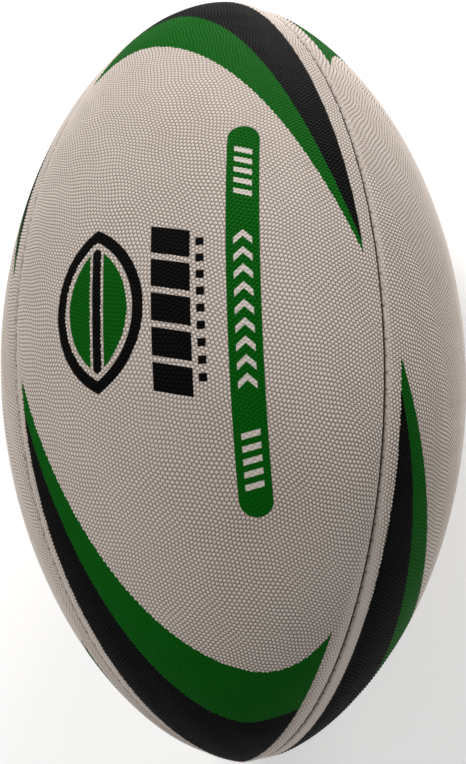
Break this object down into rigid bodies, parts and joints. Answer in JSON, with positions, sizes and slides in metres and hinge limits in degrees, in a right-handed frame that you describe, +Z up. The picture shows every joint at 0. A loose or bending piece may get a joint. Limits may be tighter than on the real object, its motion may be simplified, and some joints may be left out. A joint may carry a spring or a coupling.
{
  "type": "rugby ball",
  "caption": "Oval rugby ball of sewn pimpled rubber panels over fabric plies and a bladder, with a push-in valve core in one panel.",
  "frame": {"origin": "the ball's centre, on its long axis at mid-length", "axes": "+X along the long axis, +Y out through the valve, +Z up through the middle of the top panel with the ball lying on its side"},
  "size_m": [0.2794, 0.1667, 0.167],
  "materials": {
    "cover_rubber": "matt off-white rubber with fine round pimples and printed green and black bands",
    "ply_fabric": "plain-woven polyester and cotton laminate, unbleached",
    "stitching": "waxed polyester thread, dark with dirt",
    "bladder_rubber": "smooth black butyl rubber",
    "valve_rubber": "smooth moulded black rubber",
    "core_rubber": "smooth moulded grey rubber"
  },
  "bodies": {
    "ball": {"cover_panel_top": "cover_rubber", "cover_panel_front": "cover_rubber", "cover_panel_bottom": "cover_rubber", "cover_panel_back": "cover_rubber", "outer_ply_top": "ply_fabric", "outer_ply_front": "ply_fabric", "outer_ply_bottom": "ply_fabric", "outer_ply_back": "ply_fabric", "inner_ply_top": "ply_fabric", "inner_ply_front": "ply_fabric", "inner_ply_bottom": "ply_fabric", "inner_ply_back": "ply_fabric", "seam_thread_top_front": "stitching", "seam_thread_bottom_front": "stitching", "seam_thread_bottom_back": "stitching", "seam_thread_top_back": "stitching", "bladder": "bladder_rubber", "valve_patch": "valve_rubber", "valve_body": "valve_rubber"},
    "valve_core": {"valve_core": "core_rubber"}
  },
  "joints": [
    {"name": "core_pull", "type": "slide", "parent": "ball", "child": "valve_core", "axis": [0, 1, 0], "range_m": [0, 0.02]}
  ]
}
